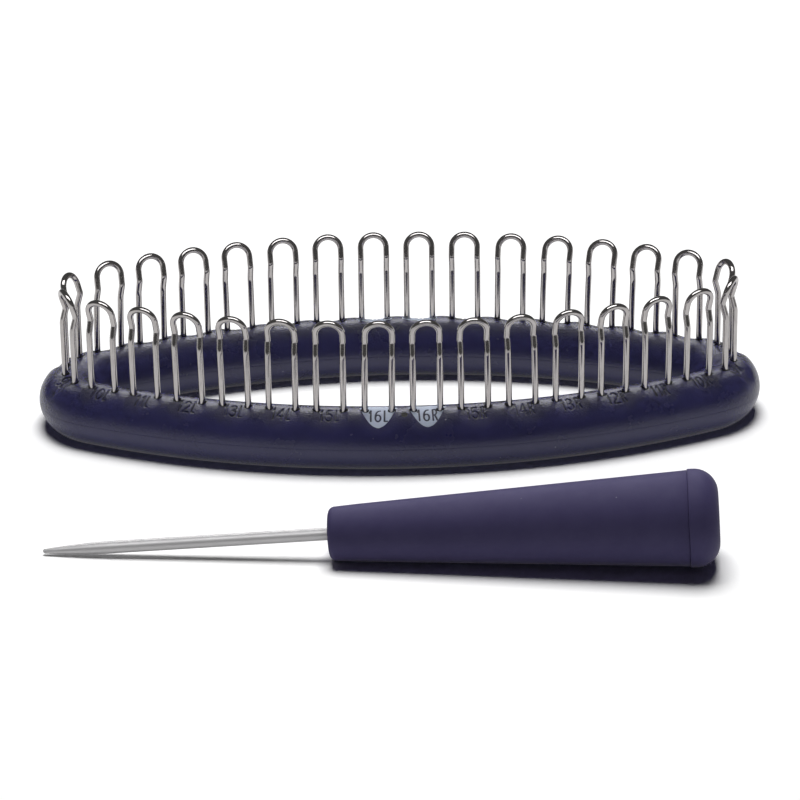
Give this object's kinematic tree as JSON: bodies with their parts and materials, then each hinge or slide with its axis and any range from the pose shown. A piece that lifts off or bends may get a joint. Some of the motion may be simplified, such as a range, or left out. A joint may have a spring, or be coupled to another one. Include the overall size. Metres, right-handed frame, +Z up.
{
  "type": "sock knitting loom",
  "caption": "Oval plastic ring with a row of kinked wire pins for knitting a sock tube by hand, and a loose pick with a tapered handle and a blunt metal needle.",
  "frame": {"origin": "centre of the oval, on the plane of the flat foot that rests on the table", "axes": "+X along the long axis of the oval, +Y from the front row of pins to the back row, +Z up along the pins"},
  "size_m": [0.165, 0.1268, 0.0344],
  "materials": {
    "ring_plastic": "satin moulded plastic, dark navy violet",
    "pin_wire": "bright nickel-plated steel wire",
    "handle_plastic": "matte soft-touch plastic, dark navy violet",
    "needle_metal": "satin anodised aluminium rod"
  },
  "bodies": {
    "loom": {"ring_top": "ring_plastic", "ring_base": "ring_plastic", "pin_l1": "pin_wire", "pin_l2": "pin_wire", "pin_l3": "pin_wire", "pin_l4": "pin_wire", "pin_l5": "pin_wire", "pin_l6": "pin_wire", "pin_l7": "pin_wire", "pin_l8": "pin_wire", "pin_l9": "pin_wire", "pin_l10": "pin_wire", "pin_l11": "pin_wire", "pin_l12": "pin_wire", "pin_l13": "pin_wire", "pin_l14": "pin_wire", "pin_l15": "pin_wire", "pin_l16": "pin_wire", "pin_r1": "pin_wire", "pin_r2": "pin_wire", "pin_r3": "pin_wire", "pin_r4": "pin_wire", "pin_r5": "pin_wire", "pin_r6": "pin_wire", "pin_r7": "pin_wire", "pin_r8": "pin_wire", "pin_r9": "pin_wire", "pin_r10": "pin_wire", "pin_r11": "pin_wire", "pin_r12": "pin_wire", "pin_r13": "pin_wire", "pin_r14": "pin_wire", "pin_r15": "pin_wire", "pin_r16": "pin_wire"},
    "pick": {"pick_handle": "handle_plastic", "pick_cap": "handle_plastic", "pick_needle": "needle_metal"}
  },
  "joints": [
    {"name": "pick_lift", "type": "slide", "parent": "loom", "child": "pick", "axis": [0, 0, 1], "range_m": [0, 0.12]}
  ]
}
